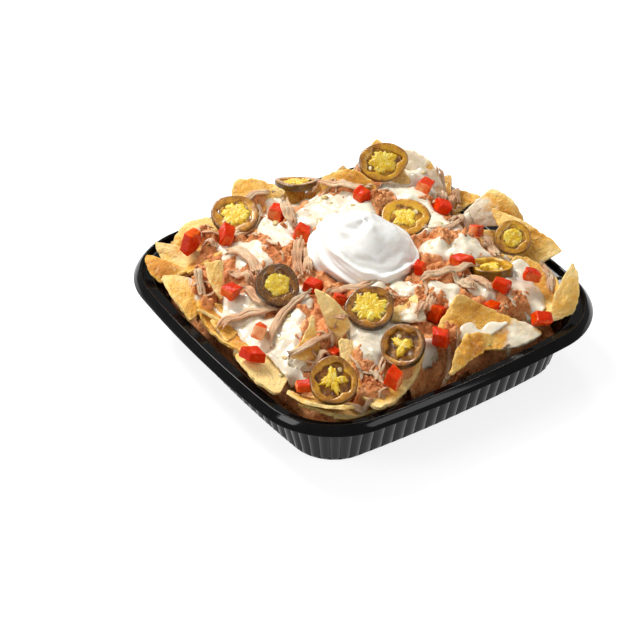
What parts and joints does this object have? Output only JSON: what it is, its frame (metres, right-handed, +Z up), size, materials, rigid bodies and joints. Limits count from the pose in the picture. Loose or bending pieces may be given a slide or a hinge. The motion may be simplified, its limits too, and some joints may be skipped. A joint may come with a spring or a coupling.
{
  "type": "loaded nachos in a takeaway tray",
  "caption": "Square black takeaway tray heaped with corn chips, beans, shredded pork and cheese sauce, with pickled jalapeno slices, diced tomato and soured cream.",
  "frame": {"origin": "middle of the tray's base, at the height it stands on", "axes": "+Z up; +X and +Y square to the tray's sides, with the front corner towards -X and -Y"},
  "size_m": [0.229, 0.229, 0.0821],
  "materials": {
    "black_plastic": "glossy black moulded plastic",
    "beans_and_meat": "moist mashed beans and shredded pork under cheese sauce",
    "corn_chip": "fried golden corn tortilla",
    "pickled_pepper": "wet olive-brown pickled pepper with a yellow core",
    "tomato": "wet red tomato flesh",
    "soured_cream": "smooth white soured cream"
  },
  "bodies": {
    "root": {"tray": "black_plastic", "heap": "beans_and_meat", "soured_cream": "soured_cream", "chip_01": "corn_chip", "chip_02": "corn_chip", "chip_03": "corn_chip", "chip_04": "corn_chip", "chip_05": "corn_chip", "chip_06": "corn_chip", "chip_07": "corn_chip", "chip_08": "corn_chip", "chip_09": "corn_chip", "chip_10": "corn_chip", "chip_11": "corn_chip", "chip_12": "corn_chip", "chip_13": "corn_chip", "chip_14": "corn_chip", "chip_15": "corn_chip", "chip_16": "corn_chip", "chip_17": "corn_chip", "chip_18": "corn_chip", "chip_19": "corn_chip", "chip_20": "corn_chip", "chip_21": "corn_chip", "chip_22": "corn_chip", "chip_23": "corn_chip", "jalapeno_01": "pickled_pepper", "jalapeno_02": "pickled_pepper", "jalapeno_03": "pickled_pepper", "jalapeno_04": "pickled_pepper", "jalapeno_05": "pickled_pepper", "jalapeno_06": "pickled_pepper", "jalapeno_07": "pickled_pepper", "jalapeno_08": "pickled_pepper", "jalapeno_09": "pickled_pepper", "jalapeno_10": "pickled_pepper", "tomato_01": "tomato", "tomato_02": "tomato", "tomato_03": "tomato", "tomato_04": "tomato", "tomato_05": "tomato", "tomato_06": "tomato", "tomato_07": "tomato", "tomato_08": "tomato", "tomato_09": "tomato", "tomato_10": "tomato", "tomato_11": "tomato", "tomato_12": "tomato", "tomato_13": "tomato", "tomato_14": "tomato", "tomato_15": "tomato", "tomato_16": "tomato", "tomato_17": "tomato", "tomato_18": "tomato", "tomato_19": "tomato", "tomato_20": "tomato", "tomato_21": "tomato", "tomato_22": "tomato", "tomato_23": "tomato", "tomato_24": "tomato"}
  },
  "joints": []
}
